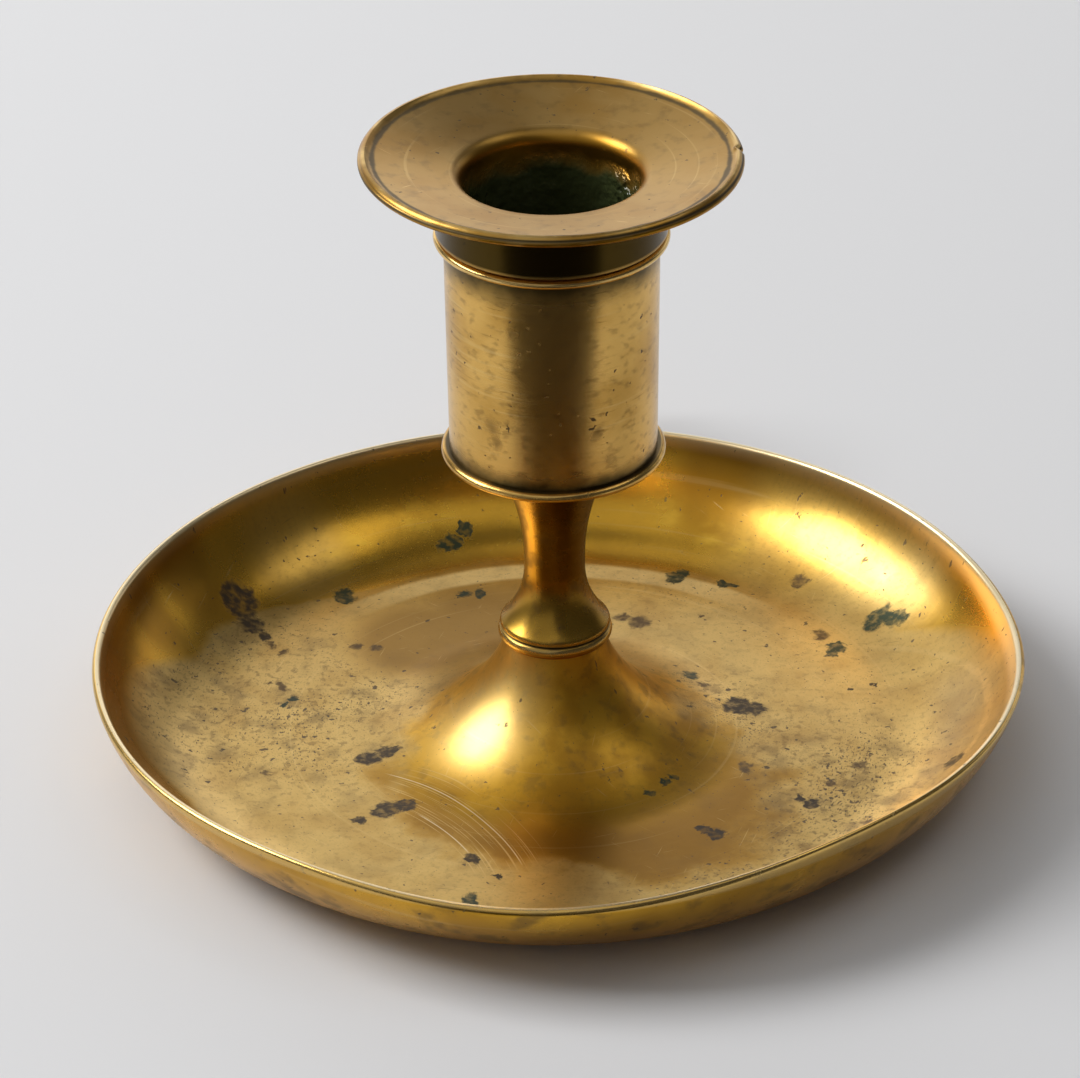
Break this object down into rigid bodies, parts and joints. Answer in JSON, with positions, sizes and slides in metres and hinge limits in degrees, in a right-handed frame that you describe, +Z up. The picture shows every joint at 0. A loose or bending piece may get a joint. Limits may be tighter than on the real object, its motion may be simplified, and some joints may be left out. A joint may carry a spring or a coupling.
{
  "type": "chamberstick",
  "caption": "Aged brass chamberstick: wide dished drip pan, waisted stem, cylindrical candle socket with a lift-off flanged nozzle, and a riveted finger loop behind.",
  "frame": {"origin": "on the table, under the axis of the candle", "axes": "+Z up along the candle's axis, +Y towards the finger loop at the back, the front of the picture towards -Y"},
  "size_m": [0.1398, 0.1675, 0.098],
  "materials": {
    "pan_brass": "old golden brass, worn smooth, with dark pits, scratches and green spots",
    "stem_brass": "old golden brass, polished by handling, dark in the grooves",
    "socket_brass": "dull brown-gold brass with fine turning lines and dark stains",
    "nozzle_brass": "dull brown-gold brass with a bright worn edge and a green-black mouth",
    "loop_brass": "old cast brass, polished by handling",
    "fixing_brass": "dull old brass, dark in the corners"
  },
  "bodies": {
    "stick": {"pan": "pan_brass", "stem_collar": "stem_brass", "stem": "stem_brass", "base_washer": "fixing_brass", "base_nut": "fixing_brass", "candle_socket": "socket_brass", "finger_loop": "loop_brass", "loop_rivets": "fixing_brass"},
    "nozzle": {"nozzle": "nozzle_brass"}
  },
  "joints": [
    {"name": "nozzle_lift", "type": "slide", "parent": "stick", "child": "nozzle", "axis": [0, 0, 1], "range_m": [0, 0.03]}
  ]
}
